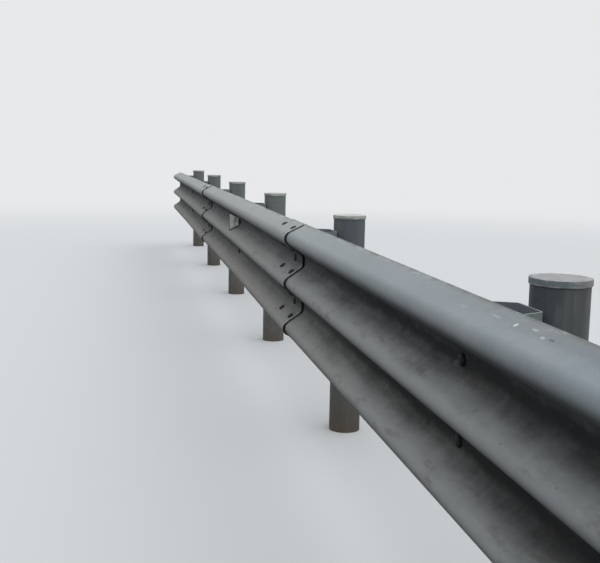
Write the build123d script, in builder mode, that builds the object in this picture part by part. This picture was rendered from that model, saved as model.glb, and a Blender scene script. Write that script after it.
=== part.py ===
"""Highway guardrail section: three-wave steel beam on round capped posts, six bays of 2 m."""

import os
from math import cos, radians, sin

from build123d import *

# The run: +X along the rail, the traffic side towards -Y, ground at Z = 0,
# the origin at the foot of the middle post.
bay = 2000.0
bays = 6
bays_per_panel = 2

# Round posts and their push-on caps
post_diameter = 140.0
post_wall = 4.5
post_height = 982.0
cap_plate = 3.0
cap_wall = 3.0
cap_clearance = 0.4
cap_skirt = 12.0

# Hexagonal offset blocks, bent from plate and open at both ends
block_depth = 157.0
block_width = 200.0
block_flat = 130.0
block_height = 434.0
block_wall = 4.5
block_corner_radius = 12.0

# Clearance left between a piece and the one that it bears on
seat_gap = 0.3

# Three-wave beam: radii are those of the face towards the inside of each bend
sheet = 4.0
rail_height = 514.0
rail_depth = 85.0
rail_center_height = 699.0
wave_spacing = 194.0
slope_angle = 55.0
edge_slope_angle = 63.5
bend_radius = 28.0
lip_angle = 40.0
lip_bend_radius = 10.0
lip_length = 2.0

# Laps: each panel lies on its blocks up to a little past its middle post, then leans out so far
# that its near end lies on the far end of the next panel. The last panel stays straight, and
# leans out only once a neighbour is slipped in behind it.
lap_length = 300.0
lap_clearance = 0.1
straight_past_post = 150.0

# Splice slots, cut where no bolt fills them: at the two free ends of the run. Their round ends
# have few sides, less than half a millimetre off the true round.
splice_spacing = 216.0
splice_slot_length = 30.0
splice_slot_height = 24.0
splice_slot_sides = 12

# Delineator: a trapezoid bracket that stands in the upper valley at the middle post
bracket_sheet = 2.0
bracket_outer_height = 118.0
bracket_inner_height = 52.0
bracket_outer_depth = 5.0
bracket_inner_depth = 73.0
bracket_tab_height = 18.0
bracket_foot_length = 62.0
bracket_offset = 30.0
reflector_margin = 3.0
reflector_sheet = 1.0

os.makedirs("parts", exist_ok=True)

# Worked out from the sizes above
run_length = bay * bays
panel_span = bay * bays_per_panel
post_radius = post_diameter / 2
crest_radius = bend_radius + sheet
block_rear = -(post_radius + seat_gap)
block_front = block_rear - block_depth
block_middle = (block_rear + block_front) / 2
rail_back = block_front - seat_gap
rail_front = rail_back - rail_depth
lap_shift = sheet / cos(radians(edge_slope_angle)) + lap_clearance
splice_slot_reach = splice_slot_length - splice_slot_height

# Runs of the sheet between its bends
valley_face = rail_depth - sheet
bend_rise = (crest_radius + bend_radius) * sin(radians(slope_angle))
bend_reach = (crest_radius + bend_radius) * (1 - cos(radians(slope_angle)))
slope_run = (valley_face - bend_reach) / sin(radians(slope_angle))
valley_flat = wave_spacing - 2 * bend_rise - 2 * slope_run * cos(radians(slope_angle))
edge_rise = rail_height / 2 - wave_spacing
lip_rise = lip_bend_radius * (sin(radians(edge_slope_angle)) - sin(radians(lip_angle)))
lip_rise += lip_length * cos(radians(lip_angle))
crest_rise = crest_radius * sin(radians(edge_slope_angle))
edge_run = (edge_rise - lip_rise - crest_rise) / cos(radians(edge_slope_angle))
edge_depth = crest_radius * (1 - cos(radians(edge_slope_angle)))
edge_depth += edge_run * sin(radians(edge_slope_angle))
edge_depth += lip_bend_radius * (cos(radians(lip_angle)) - cos(radians(edge_slope_angle)))
edge_depth += lip_length * sin(radians(lip_angle))

# The bends met on the way up the sheet: the straight run before each, its turn and its radius
crest_turn = -2 * slope_angle
edge_turn = -slope_angle - edge_slope_angle
lip_turn = edge_slope_angle - lip_angle
bends = [
    (lip_length, lip_turn, lip_bend_radius),
    (edge_run, edge_turn, crest_radius),
    (slope_run, slope_angle, bend_radius),
    (valley_flat, slope_angle, bend_radius),
    (slope_run, crest_turn, crest_radius),
    (slope_run, slope_angle, bend_radius),
    (valley_flat, slope_angle, bend_radius),
    (slope_run, edge_turn, crest_radius),
    (edge_run, lip_turn, lip_bend_radius),
]


def beam_sketch(x):
    """Section of the beam in the plane at x."""
    with BuildSketch(Plane.YZ.offset(x)) as section:
        with BuildLine():
            end = Vector(rail_front + edge_depth, rail_center_height - rail_height / 2)
            heading = 90 + lip_angle
            for run, turn, radius in bends:
                straight = PolarLine(end, run, heading)
                arc = JernArc(straight @ 1, straight % 1, radius, turn)
                heading += turn
                end = arc @ 1
            PolarLine(end, lip_length, heading)
            offset(amount=sheet, side=Side.RIGHT)
        make_face()
    return section.sketch


def slope_planes(x):
    """Planes on the six slopes of the beam, one for each row of splice slots."""
    planes = []
    edge_slot_rise = crest_rise + edge_run / 2 * cos(radians(edge_slope_angle))
    edge_slot_depth = crest_radius * (1 - cos(radians(edge_slope_angle)))
    edge_slot_depth += edge_run / 2 * sin(radians(edge_slope_angle))
    for side in (-1, 1):
        rows = [
            (wave_spacing + edge_slot_rise, edge_slot_depth, edge_slope_angle),
            (wave_spacing * 3 / 4, valley_face / 2, -slope_angle),
            (wave_spacing / 4, valley_face / 2, slope_angle),
        ]
        for rise, depth, angle in rows:
            normal = (0, -cos(radians(angle)), side * sin(radians(angle)))
            origin = (x, rail_front + depth, rail_center_height + side * rise)
            planes.append(Plane(origin=origin, x_dir=(1, 0, 0), z_dir=normal))
    return planes


# Beam panels, each from one lap to the next
panels = bays // bays_per_panel
for number in range(panels):
    far_post = -run_length / 2 + number * panel_span
    near_post = far_post + panel_span
    far_end = far_post - lap_length / 2
    near_end = near_post + lap_length / 2
    lean_start = near_post - bay + straight_past_post
    lean_slope = lap_shift / (near_post - lap_length / 2 - lean_start)
    if number == panels - 1:
        lean_slope = 0
    lean = Vector(1, -lean_slope, 0) * (near_end - lean_start)
    with BuildPart() as rail_panel:
        extrude(beam_sketch(far_end), amount=lean_start - far_end)
        extrude(beam_sketch(lean_start), amount=lean.length, dir=lean.normalized())
        slotted_posts = []
        if number == 0:
            slotted_posts.append(far_post)
        if number == panels - 1:
            slotted_posts.append(near_post)
        for post_x in slotted_posts:
            for plane in slope_planes(post_x):
                with BuildSketch(plane):
                    with GridLocations(splice_spacing, 0, 2, 1):
                        Rectangle(splice_slot_reach, splice_slot_height)
                        with GridLocations(splice_slot_reach, 0, 2, 1):
                            RegularPolygon(splice_slot_height / 2, splice_slot_sides, major_radius=False)
                extrude(amount=sheet * 2, both=True, mode=Mode.SUBTRACT)
    name = f"rail_panel_{number + 1}"
    rail_panel.part.label = name
    export_step(rail_panel.part, f"parts/{name}.step")

# Posts with their caps and offset blocks
for number in range(bays + 1):
    post_x = -run_length / 2 + number * bay
    with BuildPart() as post:
        with BuildSketch(Plane.XY):
            with Locations((post_x, 0)):
                Circle(post_radius)
                Circle(post_radius - post_wall, mode=Mode.SUBTRACT)
        extrude(amount=post_height)
    name = f"post_{number + 1}"
    post.part.label = name
    export_step(post.part, f"parts/{name}.step")

    with BuildPart() as cap:
        with BuildSketch(Plane.XY.offset(post_height - cap_skirt)):
            with Locations((post_x, 0)):
                Circle(post_radius + cap_clearance + cap_wall)
        extrude(amount=cap_skirt + cap_plate)
        with BuildSketch(Plane.XY.offset(post_height)):
            with Locations((post_x, 0)):
                Circle(post_radius + cap_clearance)
        extrude(amount=-cap_skirt, mode=Mode.SUBTRACT)
    name = f"post_cap_{number + 1}"
    cap.part.label = name
    export_step(cap.part, f"parts/{name}.step")

    with BuildPart() as block:
        with BuildSketch(Plane.XY.offset(rail_center_height - block_height / 2)):
            with BuildLine():
                Polyline(
                    (post_x - block_flat / 2, block_rear),
                    (post_x + block_flat / 2, block_rear),
                    (post_x + block_width / 2, block_middle),
                    (post_x + block_flat / 2, block_front),
                    (post_x - block_flat / 2, block_front),
                    (post_x - block_width / 2, block_middle),
                    close=True,
                )
            outline = make_face()
            fillet(outline.vertices(), block_corner_radius)
            offset(amount=-block_wall, mode=Mode.SUBTRACT)
        extrude(amount=block_height)
    name = f"offset_block_{number + 1}"
    block.part.label = name
    export_step(block.part, f"parts/{name}.step")

# Delineator on the valley of the upper wave, at the middle post
valley_front = rail_front + valley_face
plate_x = bracket_offset
plate_z = rail_center_height + wave_spacing / 2
reflector_outer = rail_front + bracket_outer_depth + reflector_margin
reflector_inner = rail_front + bracket_inner_depth - reflector_margin
reflector_outer_height = bracket_outer_height - 4 * reflector_margin
reflector_inner_height = bracket_inner_height - reflector_margin
with BuildPart() as bracket:
    with BuildSketch(Plane.YZ.offset(plate_x)):
        with BuildLine():
            Polyline(
                (rail_front + bracket_outer_depth, plate_z - bracket_outer_height / 2),
                (rail_front + bracket_inner_depth, plate_z - bracket_inner_height / 2),
                (rail_front + bracket_inner_depth, plate_z - bracket_tab_height / 2),
                (valley_front, plate_z - bracket_tab_height / 2),
                (valley_front, plate_z + bracket_tab_height / 2),
                (rail_front + bracket_inner_depth, plate_z + bracket_tab_height / 2),
                (rail_front + bracket_inner_depth, plate_z + bracket_inner_height / 2),
                (rail_front + bracket_outer_depth, plate_z + bracket_outer_height / 2),
                close=True,
            )
        make_face()
    extrude(amount=bracket_sheet)
    with BuildSketch(Plane.XZ.offset(-valley_front)):
        with Locations((plate_x + bracket_sheet - bracket_foot_length / 2, plate_z)):
            Rectangle(bracket_foot_length, bracket_tab_height)
    extrude(amount=bracket_sheet)
bracket.part.label = "delineator_bracket"
export_step(bracket.part, "parts/delineator_bracket.step")

with BuildPart() as reflector:
    with BuildSketch(Plane.YZ.offset(plate_x + bracket_sheet)):
        with BuildLine():
            Polyline(
                (reflector_outer, plate_z - reflector_outer_height / 2),
                (reflector_inner, plate_z - reflector_inner_height / 2),
                (reflector_inner, plate_z + reflector_inner_height / 2),
                (reflector_outer, plate_z + reflector_outer_height / 2),
                close=True,
            )
        make_face()
    extrude(amount=reflector_sheet)
reflector.part.label = "delineator_reflector"
export_step(reflector.part, "parts/delineator_reflector.step")
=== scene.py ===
import math

import bpy
import numpy as np
from mathutils import Matrix, Vector


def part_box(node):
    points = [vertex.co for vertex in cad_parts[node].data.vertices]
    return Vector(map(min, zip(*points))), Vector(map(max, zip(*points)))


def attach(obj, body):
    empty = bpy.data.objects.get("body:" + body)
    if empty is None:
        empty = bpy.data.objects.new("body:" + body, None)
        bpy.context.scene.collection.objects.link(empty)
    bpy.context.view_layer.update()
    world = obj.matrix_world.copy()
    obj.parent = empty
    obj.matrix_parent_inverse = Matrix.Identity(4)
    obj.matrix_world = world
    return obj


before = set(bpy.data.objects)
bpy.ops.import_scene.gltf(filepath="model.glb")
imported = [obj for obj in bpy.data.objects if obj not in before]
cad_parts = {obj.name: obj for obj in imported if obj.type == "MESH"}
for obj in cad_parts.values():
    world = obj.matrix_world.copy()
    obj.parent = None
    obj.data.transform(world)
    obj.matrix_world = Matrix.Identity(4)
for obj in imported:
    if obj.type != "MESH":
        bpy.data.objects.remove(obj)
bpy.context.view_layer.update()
print("frame loaded:", len(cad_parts), "nodes")

# Lengths are in metres and angles in degrees. +X runs along the rail, -Y is the traffic side.
beam = {
    "sheet": 0.004,
    "waveSpacing": 0.194,
    "valleyFace": 0.081,  # the valleys' outer face, behind the crests
    "slope": 55,  # of the inner slopes, from the upright
    "edgeSlope": 63.5,  # of the two outermost slopes
    "innerRowDepth": 0.0405,  # middle of an inner slope, behind the crests
    "edgeRowDepth": 0.0481,  # middle of an edge slope, behind the crests
    "edgeRowRise": 0.0438,  # middle of an edge slope, outside its crest
    "leanRun": 1.85,  # from where a panel starts to lean out, to the post at its lap
}

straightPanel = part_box("rail_panel_3")
railFront = straightPanel[0].y
railMiddle = (straightPanel[0].z + straightPanel[1].z) / 2
bays = 6
bay = (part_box("post_7")[0].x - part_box("post_1")[0].x) / bays
postPlaces = [bay * (number - bays / 2) for number in range(bays + 1)]
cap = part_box("post_cap_4")
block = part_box("offset_block_4")
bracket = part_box("delineator_bracket")
laps = [("rail_panel_1", postPlaces[2]), ("rail_panel_2", postPlaces[4])]  # outer panel and post


class Wire:
    # One output of a shader node. Arithmetic between wires and numbers adds Math nodes.
    def __init__(self, graph, socket):
        self.graph = graph
        self.socket = socket

    def math(self, operation, *values):
        return self.graph.node("Math", {"operation": operation}, dict(enumerate(values)))

    def __add__(self, other):
        return self.math("ADD", self, other)

    def __radd__(self, other):
        return self.math("ADD", other, self)

    def __sub__(self, other):
        return self.math("SUBTRACT", self, other)

    def __rsub__(self, other):
        return self.math("SUBTRACT", other, self)

    def __mul__(self, other):
        return self.math("MULTIPLY", self, other)

    def __rmul__(self, other):
        return self.math("MULTIPLY", other, self)

    def __pow__(self, other):
        return self.math("POWER", self, other)

    def __abs__(self):
        return self.math("ABSOLUTE", self)

    def max(self, other):
        return self.math("MAXIMUM", self, other)

    def min(self, other):
        return self.math("MINIMUM", self, other)

    def wrap(self, low, high):
        return self.math("WRAP", self, high, low)

    def rise(self, low, high):
        # 0 before low and 1 past high, smooth in between; it falls instead where high is below low
        ends = {1: low, 2: high, 3: 0.0, 4: 1.0} if low < high else {1: high, 2: low, 3: 1.0, 4: 0.0}
        return self.graph.node("MapRange", {"interpolation_type": "SMOOTHSTEP"}, {0: self, **ends})


class Graph:
    # A node tree, with short ways to add nodes to it
    def __init__(self, tree):
        self.tree = tree

    def node(self, kind, settings=None, sockets=None, output=0):
        made = self.tree.nodes.new("ShaderNode" + kind)
        for name, value in (settings or {}).items():
            setattr(made, name, value)
        for name, value in (sockets or {}).items():
            if isinstance(value, Wire):
                self.tree.links.new(value.socket, made.inputs[name])
            else:
                made.inputs[name].default_value = value
        return Wire(self, made.outputs[output]) if made.outputs else None

    def parts(self, vector):
        outputs = self.node("SeparateXYZ", sockets={0: vector}).socket.node.outputs
        return [Wire(self, output) for output in outputs]

    def blend(self, first, second, factor):
        colours = [value if isinstance(value, Wire) else (*value, 1) for value in (first, second)]
        sockets = {0: factor, 6: colours[0], 7: colours[1]}
        return self.node("Mix", {"data_type": "RGBA"}, sockets, output=2)

    def scaled(self, colour, amount):
        return self.node("VectorMath", {"operation": "SCALE"}, {0: colour, "Scale": amount})

    def seenDirectly(self):
        # 1 for what the camera sees straight, in a mirror or through glass
        camera, glossy, through = (
            self.node("LightPath", output=name)
            for name in ("Is Camera Ray", "Is Glossy Ray", "Is Transmission Ray")
        )
        return camera.max(glossy).max(through)


class Finish(Graph):
    # A material round one Principled shader, with the place on the piece and its face direction
    def __init__(self, name, constants):
        self.material = bpy.data.materials.new(name)
        self.material.use_nodes = True
        super().__init__(self.material.node_tree)
        self.shader = self.tree.nodes["Principled BSDF"]
        for socket, value in constants.items():
            self.shader.inputs[socket].default_value = value
        self.place = self.node("TexCoord", output="Object")
        self.x, self.y, self.z = self.parts(self.place)
        self.faceX, self.faceY, self.faceZ = self.parts(self.node("NewGeometry", output="Normal"))

    def spread(self, stretch, shift=0.0):
        # the place on the piece, times a stretch and moved, for a pattern to read
        factors = {0: self.place, 1: stretch, 2: (shift, shift, shift)}
        return self.node("VectorMath", {"operation": "MULTIPLY_ADD"}, factors)

    def noise(self, scale, detail=3.0, rough=0.55, stretch=(1, 1, 1), shift=0.0):
        vector = self.spread(stretch, shift)
        sockets = {"Vector": vector, "Scale": scale, "Detail": detail, "Roughness": rough}
        return self.node("TexNoise", {}, sockets)

    def cells(self, scale, output="Distance", stretch=(1, 1, 1), shift=0.0):
        sockets = {"Vector": self.spread(stretch, shift), "Scale": scale}
        return self.node("TexVoronoi", {}, sockets, output)

    def flecks(self, scale, size, share, stretch=(1, 1, 1), shift=0.0):
        # 1 inside small spots, one in the middle of each chosen cell
        spots = self.cells(scale, stretch=stretch, shift=shift).rise(size, size * 0.5)
        chosen = self.parts(self.cells(scale, "Color", stretch, shift))[1]
        return spots * chosen.rise(1 - share - 0.02, 1 - share + 0.02)

    def bump(self, height, distance):
        return self.node("Bump", {}, {"Height": height, "Distance": distance})

    def feed(self, **wires):
        for name, wire in wires.items():
            self.tree.links.new(wire.socket, self.shader.inputs[name.replace("_", " ")])


railLook = {
    "zinc": (0.355, 0.400, 0.438),  # slopes that face up
    "pale": (0.415, 0.440, 0.456),
    "farSheen": (0.430, 0.446, 0.428),  # painted sheen on the top slope farther off
    "downShade": (0.230, 0.245, 0.250),  # painted shade on what faces down
    "dust": (0.378, 0.388, 0.386),  # settles on the two lower waves
    "sand": (0.385, 0.372, 0.350),  # the same dust farther off
    "mud": (0.250, 0.215, 0.160),  # on the lowest wave
    "paintedShade": (0.022, 0.022, 0.023),  # painted shade below each crest and along the laps
    "shadeFar": 0.60,  # how far the painted shade hides the steel at the far end
    "shadeNear": 0.92,  # and at the end nearest the photograph's camera
    "brown": (0.115, 0.098, 0.088),
    "cutEdge": (0.12, 0.115, 0.11),
    "rust": (0.17, 0.085, 0.045),
    "lapHighlight": (0.50, 0.51, 0.51),  # painted highlight along the lapped edges, on zinc rubbed bare
    "lipDust": (0.30, 0.285, 0.255),
    "chalk": (0.80, 0.80, 0.79),
    "stain": (0.055, 0.05, 0.055),
    # droppings on the top slope: place along the rail, height, half width, half height, strength
    "droppings": [
        (4.326, 0.9405, 0.0062, 0.0028, 0.9),
        (4.396, 0.9440, 0.014, 0.0014, 0.45),
        (4.444, 0.9395, 0.009, 0.0019, 0.5),
        (4.232, 0.9405, 0.026, 0.0014, 0.25),
        (4.079, 0.9350, 0.020, 0.0014, 0.2),
    ],
    "darkSpot": (4.474, 0.9410, 0.011, 0.0017),  # place, height, half width, half height
}


def railPatterns():
    # the material, with the places and patterns that its layers share
    f = Finish("railSteel", {"Specular IOR Level": 0.0})
    f.above = f.z - railMiddle
    f.low = f.above.rise(0.16, 0.04)
    f.depth = (f.y - railFront) * (1 / beam["valleyFace"])  # 0 at the crests and 1 in the valleys
    f.front = f.faceY.rise(0.1, -0.1)
    f.top = f.faceZ.rise(0.5, 0.7)
    f.far = f.x.rise(5.4, 0.5)
    f.mottle = f.noise(5.0, 4, 0.6, (0.4, 1, 1))
    f.fine = f.noise(42, 4, 0.65, shift=9)
    f.blotch = f.noise(13, 4, 0.55, (0.3, 1, 1), 21)
    f.runs = f.noise(22, 3, 0.6, (1, 0.2, 0.2))  # rain runs down across the waves
    f.crystals = f.parts(f.cells(75, "Color"))[0]
    # 1 where the face turns up; painted shade darkens what faces down
    f.washed = (f.faceZ + (f.mottle - 0.5) * 0.5).rise(-0.9, 0.2)
    # painted shade between two frayed edges below each crest, where the crest above hides the light. The
    # phase is 0 at the middle of a crest, and 1 at the middle of the crest above it.
    phase = (f.above * (1 / beam["waveSpacing"])).wrap(0.0, 1.0)
    frayed = (f.fine - 0.5) * 0.08 + (f.blotch - 0.5) * 0.32 + (f.runs - 0.5) * 0.11
    lowerEdge = (phase + frayed + f.x.rise(3.4, 4.8) * 0.08).rise(0.06, 0.52)
    upperEdge = (phase + frayed * 0.6).rise(0.80, 0.54)
    f.sheltered = lowerEdge * upperEdge
    return f


def railZinc(f):
    # the upward slopes stay pale, painted shade darkens each face as it turns down, and dust lies on the
    # lower waves
    paler = f.mottle.rise(0.5, 0.72) * 0.7 + f.fine.rise(0.52, 0.7) * 0.3
    dusty = f.low * 0.75 + f.depth.rise(0.5, 1.0) * 0.25
    colour = f.blend(railLook["downShade"], railLook["zinc"], f.washed)
    colour = f.blend(colour, railLook["pale"], paler * f.washed)
    return f.blend(colour, railLook["dust"], dusty * f.washed)


def railShadeAndSmears(f, colour):
    # painted shade from the underside of each crest down over the valley
    near, far = railLook["shadeNear"], railLook["shadeFar"]
    shadeStrength = f.x.rise(1.2, 3.6) * (near - far) + far
    below = f.above.rise(0.20, 0.19) * f.front
    colour = f.blend(colour, railLook["paintedShade"], f.sheltered * below * shadeStrength)
    # brown smears and pale rubbed marks on the waves below
    smears = f.noise(24, 4, 0.62, (0.35, 1, 1), 33)
    below = f.above.rise(0.16, 0.10) * f.front
    colour = f.blend(colour, railLook["brown"], smears.rise(0.54, 0.74) * below * 0.45)
    return f.blend(colour, railLook["dust"], smears.rise(0.36, 0.24) * below * 0.25)


def railFarEnd(f, colour):
    # painted sheen on the top slope: paler towards the far end and a little darker at the near end; sand and
    # mud dull the lower waves at the far end
    topSlope = f.above.rise(0.12, 0.16)
    colour = f.blend(colour, railLook["farSheen"], topSlope * f.far * 0.8)
    colour = f.scaled(colour, 1 + topSlope * (f.far * 0.13 - 0.06))
    dirty = f.far * (1 - f.sheltered)
    colour = f.blend(colour, railLook["sand"], f.low * f.washed * dirty * 0.45)
    return f.blend(colour, railLook["mud"], f.above.rise(-0.06, -0.13) * dirty * 0.25)


def railTone(f, colour):
    # crystals of the zinc, with the tone of the shared patterns
    tone = 0.80 + f.mottle * 0.12 + f.blotch * 0.14 + f.fine * 0.08 + f.runs * 0.04 + f.crystals * 0.04
    colour = f.scaled(colour, tone)
    # scuffs along the rail: thin streaks on the crests
    scuffs = f.noise(30, 4, 0.7, (0.05, 1.6, 1.6), 4).rise(0.6, 0.68) * f.depth.rise(0.25, 0.0)
    return f.blend(colour, railLook["dust"], scuffs * 0.55)


def railLip(f, colour):
    # the upper lip is duller at the near end and holds brown dust, with chalky wear and dark nicks
    lip = (f.above + (f.fine - 0.5) * 0.012).rise(0.247, 0.254)
    byLip = (f.above + (f.blotch - 0.5) * 0.03).rise(0.228, 0.246)
    wear = f.noise(36, 4, 0.7, (0.3, 1, 1), 12)
    nicks = f.flecks(30, 0.12, 0.05, (0.6, 1, 1), 7) * f.faceZ.rise(0.3, 0.6)
    colour = f.scaled(colour, 1 + byLip * (f.x.rise(4.5, 3.8) * 0.18 - 0.15))
    colour = f.blend(colour, railLook["lipDust"], lip * wear.rise(0.50, 0.38) * 0.6)
    colour = f.blend(colour, railLook["chalk"], lip * wear.rise(0.48, 0.68) * 0.4)
    return f.blend(colour, railLook["stain"], nicks * 0.3)


def railSpots(f, colour):
    # droppings, a dark spot and pale flecks on the top slope
    def away(x, height, halfWidth, halfHeight):
        # the square of the distance from a place, 1 at the edge of its ellipse, frayed by noise
        square = ((f.x - x) * (1 / halfWidth)) ** 2 + ((f.z - height) * (1 / halfHeight)) ** 2
        return square + f.fine * 0.9 - 0.45

    for *ellipse, strength in railLook["droppings"]:
        spot = away(*ellipse).rise(1.4, 0.1) * f.top
        colour = f.blend(colour, railLook["chalk"], spot * strength)
    spot = away(*railLook["darkSpot"]).rise(1.4, 0.2) * f.top
    colour = f.blend(colour, railLook["stain"], spot * 0.45)
    return f.blend(colour, railLook["chalk"], f.flecks(24, 0.12, 0.02, (0.7, 1, 1)) * f.top * 0.4)


def railLaps(f, colour):
    # at each lap a painted highlight lies along the outer panel's end where it faces up, on zinc rubbed
    # bright in places, and a painted shadow lies along it on the inner panel: bands of the distance past that
    # end
    for panel, _ in laps:
        past = f.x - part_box(panel)[1].x
        edgeHighlight = past.rise(-0.024, -0.008) * past.rise(0.0004, 0.0) * f.fine.rise(0.40, 0.56)
        colour = f.blend(colour, railLook["lapHighlight"], edgeHighlight * f.front * f.faceZ.rise(-0.1, 0.5) * 0.8)
        lapShadow = past.rise(0.0, 0.0004) * past.rise(0.016, 0.002)
        colour = f.blend(colour, railLook["paintedShade"], lapShadow * f.front * 0.8)
    return colour


def railCuts(f, colour):
    # cut ends, dull with a little rust
    rusty = f.noise(90, 4).rise(0.5, 0.62)
    cut = f.blend(railLook["cutEdge"], railLook["rust"], rusty * 0.15)
    return f.blend(colour, cut, abs(f.faceX).rise(0.6, 0.9))


def railSteel():
    # each layer lies over the ones before it
    f = railPatterns()
    colour = railZinc(f)
    for layer in (railShadeAndSmears, railFarEnd, railTone, railLip, railSpots, railLaps, railCuts):
        colour = layer(f, colour)
    rough = 0.66 - f.washed * 0.1 + (f.fine - 0.5) * 0.22
    height = f.noise(260, 3, shift=5) * 0.5 + f.crystals * 0.2
    f.feed(Base_Color=colour, Metallic=f.washed * 0.16, Roughness=rough, Normal=f.bump(height, 0.0004))
    return f.material


def postSteel():
    look = {
        "zinc": (0.255, 0.285, 0.285),
        "blue": (0.165, 0.190, 0.225),
        "brown": (0.205, 0.190, 0.180),
        "oldZinc": 0.59,  # the posts nearest the photograph's camera are duller
        "soil": (0.21, 0.155, 0.105),
        "drip": (0.36, 0.37, 0.37),
    }
    f = Finish("postSteel", {"Metallic": 0.1, "Specular IOR Level": 0.12})
    old = f.x.rise(0.9, 3.1)
    streaks = f.noise(34, 3, 0.6, (1, 1, 0.04))
    blotches = f.noise(9, 4, 0.6)
    broad = f.noise(13, 1, 0.5, (1, 1, 0.05), 5)
    colour = f.blend(look["zinc"], look["blue"], broad.rise(0.52, 0.36) * (0.3 + old * 0.4))
    colour = f.blend(colour, look["brown"], broad.rise(0.5, 0.66) * (0.2 + old * 0.6))
    colour = f.scaled(colour, (1 - old * (1 - look["oldZinc"])) * (0.76 + streaks * 0.3 + blotches * 0.2))
    crystals = f.parts(f.cells(90, "Color"))[0]
    colour = f.scaled(colour, 0.97 + crystals * 0.06)
    # pale drips below the cap, and soil splashed up the foot
    drips = f.noise(60, 2, 0.5, (1, 1, 0.1), 6).rise(0.6, 0.68)
    belowCap = (f.z + (blotches - 0.5) * 0.3).rise(0.82, 0.97)
    colour = f.blend(colour, look["drip"], drips * belowCap * 0.16)
    splash = (f.z + (f.noise(28, 4, shift=2) - 0.5) * 0.3).rise(0.26, 0.0)
    colour = f.blend(colour, look["soil"], splash * 0.6)
    rough = 0.5 + splash * 0.3 + (f.noise(50, 3, shift=4) - 0.5) * 0.2
    height = f.noise(240, 3) + streaks * 0.4
    f.feed(Base_Color=colour, Roughness=rough, Normal=f.bump(height, 0.0004))
    return f.material


def capSteel():
    look = {
        "coat": (0.425, 0.420, 0.435),
        "coatFar": (0.690, 0.700, 0.665),  # whiter on the posts farther from the photograph's camera
        "coatShade": (0.325, 0.335, 0.350),
        "chip": (0.66, 0.65, 0.61),
        "worn": (0.225, 0.280, 0.300),  # under the coat, round the skirt
        "wornPale": (0.43, 0.45, 0.455),
        "wornDull": (0.215, 0.220, 0.225),
        "hem": (0.43, 0.46, 0.46),
        "skirt": 0.0132,  # height of the skirt down to its hem
    }
    f = Finish("capSteel", {"Specular IOR Level": 0.3})
    # distance past the rim: negative on the top, positive down the skirt
    aside = f.x.wrap(-bay / 2, bay / 2)
    radius = (aside * aside + f.y * f.y) ** 0.5
    onTop = f.faceZ.rise(0.4, 0.6)
    past = onTop * (radius - cap[1].x) + (1 - onTop) * (cap[1].z - f.z)
    # the coat ends on a ragged line: lower on the posts farther off, and lower behind than on the
    # traffic side, most of all on the near posts
    far = f.x.rise(3.1, 2.9)
    broad = f.noise(15, 1, 0.5, shift=3)
    ragged = (broad - 0.5) * 0.035 + (f.noise(85, 3, 0.6, shift=2) - 0.5) * 0.008 + f.y * 0.05 + 0.002
    ragged = ragged + far * 0.0115 + f.x.rise(1.1, 0.9) * 0.002
    ragged = ragged + (1 - far) * f.y.rise(-0.03, 0.04) * 0.014
    coated = (past - ragged).rise(0.0014, -0.0014)
    dull = f.noise(30, 4, 0.6, shift=6).rise(0.42, 0.72)
    coat = f.blend(look["coat"], look["coatFar"], far)
    coat = f.blend(coat, look["coatShade"], dull * (1 - far * 0.6))
    coat = f.blend(coat, look["wornPale"], f.flecks(60, 0.24, 0.1, shift=4) * 0.6)
    # pale chips along the rim of the top
    chips = onTop * past.rise(-0.024, -0.006) * f.noise(55, 3, 0.6, shift=14).rise(0.53, 0.62)
    coat = f.blend(coat, look["chip"], chips * 0.85)
    # the bare skirt, paler and duller in patches, with a bright hem
    palePatches = f.noise(34, 3, 0.6, (1, 1, 0.5), 8).rise(0.5, 0.72)
    dullPatches = f.noise(26, 3, 0.6, (1, 1, 0.4), 17).rise(0.46, 0.62)
    worn = f.blend(look["worn"], look["wornPale"], palePatches * 0.6)
    worn = f.blend(worn, look["wornDull"], dullPatches * 0.7)
    hem = (past + (f.noise(60, 2, shift=5) - 0.5) * 0.004).rise(look["skirt"] - 0.0022, look["skirt"])
    bright = f.noise(22, 2, 0.5, shift=19).rise(0.38, 0.56)
    worn = f.blend(worn, look["hem"], hem * (1 - onTop) * bright * 0.9)
    colour = f.blend(worn, coat, coated)
    height = coated * 0.6 + f.noise(200, 3) * 0.3
    f.feed(Base_Color=colour, Roughness=0.5 + coated * 0.15, Normal=f.bump(height, 0.0004))
    return f.material


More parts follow.
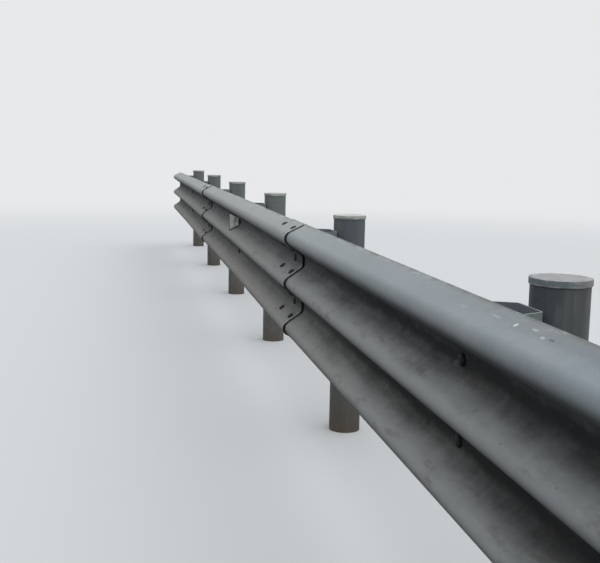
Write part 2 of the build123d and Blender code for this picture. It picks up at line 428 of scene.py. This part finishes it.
def blockSteel():
    look = {
        "zinc": (0.240, 0.285, 0.285),
        "inside": (0.235, 0.262, 0.295),
        # painted highlight on the plates' top edges
        "rim": (0.46, 0.49, 0.48),
        "streak": (0.12, 0.13, 0.13),
        "slant": 24.03,  # of the slanted plates, from square to the rail
        "slantPlate": 0.0879,  # inside their thickness, from the block's middle
    }
    f = Finish("blockSteel", {"Metallic": 0.1, "Specular IOR Level": 0.2})
    streaks = f.noise(40, 3, 0.6, (1, 1, 0.05))
    colour = f.blend(look["zinc"], look["streak"], streaks.rise(0.52, 0.75) * 0.5)
    colour = f.scaled(colour, 0.86 + f.noise(12, 3, shift=3) * 0.24 + f.parts(f.cells(90, "Color"))[0] * 0.05)
    # inside: nearer the block's own middle than the plate's inner face
    aside = abs(f.x.wrap(-bay / 2, bay / 2))
    along = abs(f.y - (block[0].y + block[1].y) / 2)
    halfDepth = (block[1].y - block[0].y) / 2
    slant = math.radians(look["slant"])
    fromMiddle = aside * math.cos(slant) + along * math.sin(slant)
    inSlants = fromMiddle.rise(look["slantPlate"] + 0.0005, look["slantPlate"] - 0.0005)
    inFlats = along.rise(halfDepth - 0.002, halfDepth - 0.003)
    colour = f.blend(colour, look["inside"], inFlats * inSlants)
    # painted highlight: faces that turn up, the plates' top edges, are lighter
    rim = f.faceZ.rise(0.7, 0.9) * (0.55 + f.noise(80, 3, shift=6) * 0.9)
    colour = f.blend(colour, look["rim"], rim.min(1.0))
    rough = 0.5 + streaks * 0.14
    f.feed(Base_Color=colour, Roughness=rough, Normal=f.bump(f.noise(240, 3) + streaks * 0.4, 0.0004))
    return f.material


def bracketSteelPaintedShade():
    # near black all over: painted shade round the reflector's inner and lower edges
    look = {"zinc": (0.10, 0.10, 0.095), "dirt": (0.035, 0.035, 0.032)}
    f = Finish("bracketSteelPaintedShade", {"Metallic": 0.3, "Specular IOR Level": 0.35})
    dirt = f.noise(40, 4).rise(0.4, 0.65)
    colour = f.blend(look["zinc"], look["dirt"], dirt)
    f.feed(Base_Color=colour, Roughness=0.5 + dirt * 0.2, Normal=f.bump(f.noise(200, 3), 0.0004))
    return f.material


def reflectorSheet():
    look = {
        "strip": (0.88, 0.87, 0.84),  # the clean outer strip
        "stripWidth": 0.030,
        "field": (0.80, 0.79, 0.73),
        "dirt": (0.34, 0.335, 0.30),
        # painted shadow along the inner and lower sides
        "edgeShadow": (0.02, 0.02, 0.02),
        "taper": 24.7,  # of the sloping sides, from the level
        "outerPlace": 0.008,  # the outer side, behind the crests
        "outerHalf": 0.053,  # half of the outer side's height
    }
    f = Finish("reflectorSheet", {"Specular IOR Level": 0.6})
    across = f.y - railFront
    wavy = across + (f.noise(40, 3, shift=3) - 0.5) * 0.01
    strip = wavy.rise(look["stripWidth"] + 0.006, look["stripWidth"])
    dirt = f.noise(38, 4, 0.6).rise(0.42, 0.66)
    colour = f.blend(look["field"], look["strip"], strip)
    colour = f.blend(colour, look["dirt"], dirt * (0.75 - strip * 0.6))
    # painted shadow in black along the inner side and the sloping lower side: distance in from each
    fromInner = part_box("delineator_reflector")[1].y - f.y
    taper = math.radians(look["taper"])
    fromCorner = f.z - railMiddle - beam["waveSpacing"] / 2 + look["outerHalf"]
    fromLower = fromCorner * math.cos(taper) - (across - look["outerPlace"]) * math.sin(taper)
    edgeShadow = fromInner.min(fromLower).rise(0.0045, 0.0030)
    colour = f.blend(colour, look["edgeShadow"], edgeShadow)
    beads = f.cells(900)  # of glass, under a clear film
    # the sheet is silvered below its beads, where neither dirt nor the painted shadow covers it
    silver = (0.5 + strip * 0.15) * (1 - dirt * 0.5) * (1 - edgeShadow)
    f.feed(Base_Color=colour, Metallic=silver, Roughness=0.4 + dirt * 0.3, Normal=f.bump(beads, 0.0003))
    return f.material


def boltSteel():
    look = {"dull": (0.048, 0.050, 0.052), "rust": (0.075, 0.046, 0.032), "worn": (0.20, 0.20, 0.20)}
    f = Finish("boltSteel", {"Metallic": 0.1, "Specular IOR Level": 0.12})
    rusty = f.noise(120, 4).rise(0.5, 0.64)
    colour = f.blend(look["dull"], look["rust"], rusty * 0.7)
    colour = f.blend(colour, look["worn"], f.noise(260, 3, shift=3).rise(0.62, 0.72) * 0.4)
    # painted shade on the heads in the valleys, stronger towards the near end, as on the steel round them
    depth = (f.y - railFront) * (1 / beam["valleyFace"])
    valleyShade = depth.rise(0.6, 0.7) * depth.rise(1.04, 1.0)
    colour = f.scaled(colour, 1 - valleyShade * f.x.rise(1.2, 3.6) * 0.65)
    f.feed(Base_Color=colour, Roughness=0.52 + rusty * 0.3, Normal=f.bump(f.noise(500, 2), 0.0002))
    return f.material


def weldSteel():
    look = {"bead": (0.22, 0.235, 0.235), "heat": (0.10, 0.10, 0.105)}
    f = Finish("weldSteel", {"Metallic": 0.35, "Specular IOR Level": 0.45})
    tone = f.noise(70, 3, 0.6, (1, 1, 0.5))
    colour = f.blend(look["bead"], look["heat"], tone.rise(0.45, 0.7))
    f.feed(Base_Color=colour, Roughness=0.4 + tone * 0.25, Normal=f.bump(f.noise(400, 2), 0.0002))
    return f.material


finishes = {
    "rail_panel": railSteel(),
    "post_cap": capSteel(),
    "post": postSteel(),
    "offset_block": blockSteel(),
    "delineator_bracket": bracketSteelPaintedShade(),
    "delineator_reflector": reflectorSheet(),
}
for name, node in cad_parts.items():
    family = name.rstrip("0123456789").rstrip("_")
    node.data.materials.clear()
    node.data.materials.append(finishes[family])
boltFinish = boltSteel()
weldFinish = weldSteel()
print("finishes made:", len(finishes) + 2)


sharpAngle = 35  # edges that turn more than this look sharp


def turnedPieces(name, form, seats, axes, finish, looped=False):
    # Solids turned about an axis, one on each seat: each point lies its radius away from the axis,
    # at its angle, and its height along it. The form is two grids, radius and height, over rows and
    # over the angle. The end rows are single points, unless the rows close in a loop. The axes are
    # one direction for all seats, or one for each.
    radius, height = form
    rows, sides = radius.shape
    count = len(seats)
    angle = np.linspace(0, 2 * np.pi, sides, endpoint=False)
    seats = np.asarray(seats, float)
    axes = np.broadcast_to(np.asarray(axes, float), seats.shape)
    # a direction square to each axis, which is X for an upright one, and a third square to both
    along = np.cross(axes, [0.0, 0.0, 1.0])
    along[np.linalg.norm(along, axis=1) < 0.001] = (1.0, 0.0, 0.0)
    along /= np.linalg.norm(along, axis=1)[:, None]
    across = np.cross(axes, along)
    spin = np.cos(angle)[:, None] * along[:, None, :] + np.sin(angle)[:, None] * across[:, None, :]
    rings = seats[:, None, None, :] + radius[None, :, :, None] * spin[:, None, :, :]
    rings = rings + height[None, :, :, None] * axes[:, None, None, :]
    place = np.arange(rows * sides).reshape(rows, sides)
    upper = np.roll(place, -1, axis=0)
    after = np.roll(place, -1, axis=1)
    quads = np.stack([place, after, np.roll(upper, -1, axis=1), upper], axis=-1)
    if looped:
        points = rings.reshape(count, -1, 3)
        fans = np.zeros((0, 3), int)
        quads = quads.reshape(-1, 4)
    else:
        # the first and last rows keep one point each, and their neighbours close on it in a fan
        between = rings[:, 1:-1].reshape(count, -1, 3)
        points = np.concatenate([rings[:, 0, :1], between, rings[:, -1, :1]], axis=1)
        place = place - sides + 1
        after = after - sides + 1
        quads = (quads - sides + 1)[1:-2].reshape(-1, 4)
        foot = np.stack([after[1], place[1], np.zeros(sides, int)], axis=-1)
        top = np.stack([place[-2], after[-2], np.full(sides, points.shape[1] - 1)], axis=-1)
        fans = np.concatenate([foot, top])
    shift = np.arange(count)[:, None, None] * points.shape[1]
    faces = (quads[None] + shift).reshape(-1, 4).tolist() + (fans[None] + shift).reshape(-1, 3).tolist()
    mesh = bpy.data.meshes.new(name)
    mesh.from_pydata(points.reshape(-1, 3).tolist(), [], faces)
    mesh.polygons.foreach_set("use_smooth", np.ones(len(mesh.polygons), bool))
    mesh.set_sharp_from_angle(angle=math.radians(sharpAngle))
    mesh.materials.append(finish)
    piece = bpy.data.objects.new(name, mesh)
    bpy.context.scene.collection.objects.link(piece)
    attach(piece, "root")


def roundForm(profile, sides):
    # the same radius and height all round, from pairs of radius and height
    pairs = np.array(profile, float)
    return np.repeat(pairs[:, :1], sides, axis=1), np.repeat(pairs[:, 1:], sides, axis=1)


def domeForm(radius, wall, dome, rows, sides):
    # up a short wall, then over a quarter of an ellipse to the middle
    turn = np.linspace(0, np.pi / 2, rows)
    arc = np.stack([radius * np.cos(turn), wall + dome * np.sin(turn)], axis=1)
    return roundForm(np.concatenate([[(0, 0), (radius, 0)], arc[:-1], [(0, wall + dome)]]), sides)


def nutForm(width, height, sides):
    # a hexagon whose corners are cut by a cone at both ends: the smaller of the two radii
    ends = {"share": 0.96, "slope": 1.7}  # of the cones: the radius at the face, and its growth
    angle = np.linspace(0, 2 * np.pi, sides, endpoint=False)
    toFlat = np.mod(angle + np.pi / 6, np.pi / 3) - np.pi / 6
    hexagon = width / 2 / np.cos(toFlat)
    levels = np.array([0.0, 0.08, 0.16, 0.5, 0.84, 0.92, 1.0]) * height
    cone = width / 2 * ends["share"] + ends["slope"] * np.minimum(levels, height - levels)
    radius = np.minimum(hexagon[None, :], cone[:, None])
    centre = np.zeros((1, sides))
    rise = np.concatenate([[0.0], levels, [height]])
    return np.concatenate([centre, radius, centre]), np.repeat(rise[:, None], sides, axis=1)


def threadForm(radius, length, pitch, depth, sides):
    # a bolt's end: crests and roots by turns up its length, then a small chamfer
    turns = int(length / pitch)
    levels = np.arange(turns * 2) * pitch / 2
    crests = radius - depth * (np.arange(turns * 2) % 2)
    rows = [(0, 0), *zip(crests, levels), (radius - 2 * depth, length), (0, length)]
    return roundForm(rows, sides)


fasteners = {
    "spliceHead": (0.0140, 0.0016, 0.0050, 7, 28),  # radius, wall and dome, then rows and sides
    "postHead": (0.0165, 0.0020, 0.0080, 8, 32),
    "washer": (0.0175, 0.003, 28),  # radius and thickness, then sides
    "nut": (0.024, 0.0135, 48),  # width and height, then sides
    "thread": (0.008, 0.010, 0.002, 0.0006, 20),  # radius, length, pitch and depth, then sides
    "splicePitch": 0.216,
    "blockWall": 0.0045,
    "bracketSheet": 0.002,
    "blockBolts": (-0.15, 0.0, 0.15),  # heights from the rail's middle of the bolts into the post
}


def leanedOut(panel, post, x):
    # how far a panel that laps over the next one stands out at a place: its reach at the end, in
    # proportion to the distance from where it starts to lean
    low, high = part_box(panel)
    start = post - beam["leanRun"]
    return (railFront - low.y) * (x - start) / (high.x - start)


def boltedStack(name, seats, axes, finish):
    # washer with a small chamfer, nut and the bolt's end, each on the one before it
    radius, thick, sides = fasteners["washer"]
    rows = [(0, 0), (radius, 0), (radius, thick * 0.8), (radius * 0.97, thick), (0, thick)]
    turnedPieces(name + "_washers", roundForm(rows, sides), seats, axes, finish)
    onWasher = seats + axes * thick
    turnedPieces(name + "_nuts", nutForm(*fasteners["nut"]), onWasher, axes, finish)
    onNut = onWasher + axes * fasteners["nut"][1]
    turnedPieces(name + "_ends", threadForm(*fasteners["thread"]), onNut, axes, finish)


def addSpliceBolts():
    # twelve at each lap, square to the six slopes: the heads outside, and the nuts on the inner
    # sheet's back, as deep as the lean across the slope and one sheet more
    seats, axes, depths = [], [], []
    spacing = beam["waveSpacing"]
    rows = [
        (spacing + beam["edgeRowRise"], beam["edgeRowDepth"], beam["edgeSlope"]),
        (spacing * 3 / 4, beam["innerRowDepth"], -beam["slope"]),
        (spacing / 4, beam["innerRowDepth"], beam["slope"]),
    ]
    for panel, post in laps:
        for x in (post - fasteners["splicePitch"] / 2, post + fasteners["splicePitch"] / 2):
            leaned = leanedOut(panel, post, x)
            for side in (-1, 1):
                for rise, depth, angle in rows:
                    turn = math.radians(angle)
                    seats.append((x, railFront - leaned + depth, railMiddle + side * rise))
                    axes.append((0, -math.cos(turn), side * math.sin(turn)))
                    depths.append(leaned * math.cos(turn) + beam["sheet"])
    seats, axes, depths = np.array(seats), np.array(axes), np.array(depths)
    heads = domeForm(*fasteners["spliceHead"])
    turnedPieces("splice_heads", heads, seats, axes, boltFinish)
    boltedStack("splice", seats - axes * depths[:, None], -axes, boltFinish)


def addPostBolts():
    # two in the valleys at each post, through the rail into its block
    seats = []
    lean = {post: leanedOut(panel, post, post) for panel, post in laps}
    for post in postPlaces:
        for side in (-1, 1):
            face = railFront + beam["valleyFace"] - lean.get(post, 0)
            if side == 1 and bracket[0].x < post < bracket[1].x:
                face -= fasteners["bracketSheet"]
            seats.append((post, face, railMiddle + side * beam["waveSpacing"] / 2))
    seats = np.array(seats)
    outward = np.array((0.0, -1.0, 0.0))
    heads = domeForm(*fasteners["postHead"])
    turnedPieces("post_bolt_heads", heads, seats, outward, boltFinish)
    inside = seats.copy()
    inside[:, 1] = block[0].y + fasteners["blockWall"]
    boltedStack("post_bolt", inside, -outward, boltFinish)
    # and three from inside each block into the post
    face = block[1].y - fasteners["blockWall"]
    heights = [railMiddle + rise for rise in fasteners["blockBolts"]]
    seats = np.array([(post, face, height) for post in postPlaces for height in heights])
    boltedStack("block_bolt", seats, outward, boltFinish)


addSpliceBolts()
addPostBolts()
print("bolts made")


def addWeldBeads():
    # the seam of each bent block, up the middle of the slanted plate at its rear on the -X side: a
    # rod half sunk in the plate, whose radius swells and thins as a cosine with each ripple
    weld = {
        "radius": 0.0034,
        "ripple": 0.0062,
        "waver": 0.16,
        "stations": 4,  # to each ripple
        "sides": 10,
        "inset": 0.003,  # from the plate's two ends
        "sunk": 0.0008,
        "flatShare": 0.65,  # of the rear flat in the block's width
    }
    length = block[1].z - block[0].z - 2 * weld["inset"]
    steps = int(length / weld["ripple"]) * weld["stations"]
    t = np.linspace(0, 1, steps)
    swell = 1 + weld["waver"] * np.cos(t * length / weld["ripple"] * 2 * np.pi)
    tapered = np.minimum(1, np.minimum(t, 1 - t) * length / weld["radius"]) ** 0.5
    radius = np.repeat((weld["radius"] * swell * tapered)[:, None], weld["sides"], axis=1)
    height = np.repeat((t * length)[:, None], weld["sides"], axis=1)
    aside = block[1].x * (1 + weld["flatShare"]) / 2 - weld["sunk"]
    across = block[1].y - (block[1].y - block[0].y) / 4
    seats = [(post - aside, across, block[0].z + weld["inset"]) for post in postPlaces]
    turnedPieces("block_welds", (radius, height), seats, (0, 0, 1), weldFinish)


def addCapHems():
    # the skirt's lower edge is rolled: a ring of small round section, whose radius has slight dents
    # from two sines round it
    hem = {"section": 0.0012, "rows": 10, "sides": 96, "dent": 0.00025}
    turn = np.linspace(0, 2 * np.pi, hem["rows"], endpoint=False)
    angle = np.linspace(0, 2 * np.pi, hem["sides"], endpoint=False)
    dents = hem["dent"] * (np.sin(3 * angle + 1) + np.sin(7 * angle))[None, :] * 0.5
    inner = cap[1].x - hem["section"] - hem["dent"]
    radius = inner + dents + hem["section"] * np.cos(turn)[:, None]
    height = np.repeat(hem["section"] * np.sin(turn)[:, None], hem["sides"], axis=1)
    seats = [(post, 0.0, cap[0].z) for post in postPlaces]
    form = (radius, height)
    turnedPieces("cap_hems", form, seats, (0, 0, 1), finishes["post_cap"], looped=True)


def addRivets():
    # two rivets hold the reflector sheet to its plate
    rivet = {
        "head": (0.0040, 0.0004, 0.0016, 6, 24),  # radius, wall and dome, then rows and sides
        "place": 0.048,  # behind the crests
        "spread": 0.024,  # above and below the valley's middle
    }
    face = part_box("delineator_reflector")[1].x
    valley = railMiddle + beam["waveSpacing"] / 2
    seats = [(face, railFront + rivet["place"], valley + side * rivet["spread"]) for side in (-1, 1)]
    heads = domeForm(*rivet["head"])
    turnedPieces("delineator_rivets", heads, seats, (1, 0, 0), boltFinish)


addWeldBeads()
addCapHems()
addRivets()
print("welds, hems and rivets made")


stage = {
    "pale": (0.80, 0.81, 0.82),  # what the camera and mirrors see behind the object
    "roundTint": (0.93, 0.97, 1.0),  # of the light from all round
    "fromSides": 0.13,  # its strength from the level
    "fromAbove": 0.82,  # and from straight above
    "lamp": 1.0,  # strength of a wide soft lamp above the traffic side
    "lampTint": (1.0, 0.99, 0.97),
    "lampWidth": 110,
    "lampTilt": (-6, 16),  # about X and about Y
    "floorReturn": 0.15,  # how much light the floor gives back
    "floorRadius": 60.0,
    "floorSides": 96,
    "floorFade": (7.0, 16.0),  # from and to this far from the middle, into the background
}


def makeWorld():
    world = bpy.data.worlds.new("studio")
    bpy.context.scene.world = world
    world.use_nodes = True
    graph = Graph(world.node_tree)
    graph.tree.nodes.clear()
    up = graph.parts(graph.node("TexCoord", output="Generated"))[2].max(0.0)
    strength = stage["fromSides"] + (stage["fromAbove"] - stage["fromSides"]) * up
    light = graph.node("Background", {}, {"Color": (*stage["roundTint"], 1), "Strength": strength})
    seen = graph.node("Background", {}, {"Color": (*stage["pale"], 1)})
    either = graph.node("MixShader", {}, {0: graph.seenDirectly(), 1: light, 2: seen})
    graph.node("OutputWorld", {}, {0: either})


def makeLamp():
    lamp = bpy.data.lights.new("overhead", "SUN")
    lamp.energy = stage["lamp"]
    lamp.angle = math.radians(stage["lampWidth"])
    lamp.color = stage["lampTint"]
    overhead = bpy.data.objects.new("overhead", lamp)
    overhead.rotation_euler = (*(math.radians(tilt) for tilt in stage["lampTilt"]), 0)
    bpy.context.scene.collection.objects.link(overhead)


def makeFloor():
    finish = Finish("floorPaint", {"Roughness": 0.9, "Specular IOR Level": 0.0})
    direct = finish.seenDirectly()
    finish.feed(Base_Color=finish.blend((stage["floorReturn"],) * 3, stage["pale"], direct))
    # the floor fades into the background, far from the object
    away = (finish.x * finish.x + finish.y * finish.y) ** 0.5
    faded = away.rise(*stage["floorFade"]) * direct
    glow = finish.node("Emission", {}, {"Color": (*stage["pale"], 1)})
    painted = Wire(finish, finish.shader.outputs[0])
    either = finish.node("MixShader", {}, {0: faded, 1: painted, 2: glow})
    finish.tree.links.new(either.socket, finish.tree.nodes["Material Output"].inputs[0])
    mesh = bpy.data.meshes.new("floor")
    turn = np.linspace(0, 2 * np.pi, stage["floorSides"], endpoint=False)
    rim = np.stack([np.cos(turn), np.sin(turn), 0 * turn], axis=1) * stage["floorRadius"]
    mesh.from_pydata(rim.tolist(), [], [list(range(stage["floorSides"]))])
    mesh.materials.append(finish.material)
    floor = bpy.data.objects.new("floor", mesh)
    bpy.context.scene.collection.objects.link(floor)


makeWorld()
makeLamp()
makeFloor()

view = {
    "place": (5.934, -1.003, 1.2655),
    "yaw": 11.251,  # from -X towards +Y
    "pitch": 8.202,  # down
    "roll": 1.079,
    "lens": 54.498,  # in millimetres, for the sensor below
    "sensor": 36,
    "nearest": 0.05,  # what the camera sees, from and to
    "farthest": 200,
}


def makeCamera():
    yaw, pitch, roll = (math.radians(view[name]) for name in ("yaw", "pitch", "roll"))
    forward = Vector((-math.cos(yaw) * math.cos(pitch), math.sin(yaw) * math.cos(pitch), -math.sin(pitch)))
    level = Vector((math.sin(yaw), math.cos(yaw), 0))
    upright = level.cross(forward)
    right = level * math.cos(roll) + upright * math.sin(roll)
    up = upright * math.cos(roll) - level * math.sin(roll)
    data = bpy.data.cameras.new("camera")
    data.sensor_width = view["sensor"]
    data.lens = view["lens"]
    data.clip_start = view["nearest"]
    data.clip_end = view["farthest"]
    camera = bpy.data.objects.new("camera", data)
    turn = Matrix((right, up, -forward)).transposed().to_4x4()
    camera.matrix_world = Matrix.Translation(view["place"]) @ turn
    bpy.context.scene.collection.objects.link(camera)
    bpy.context.scene.camera = camera


makeCamera()
bpy.context.scene.view_settings.view_transform = "Standard"
print("stage and camera made")
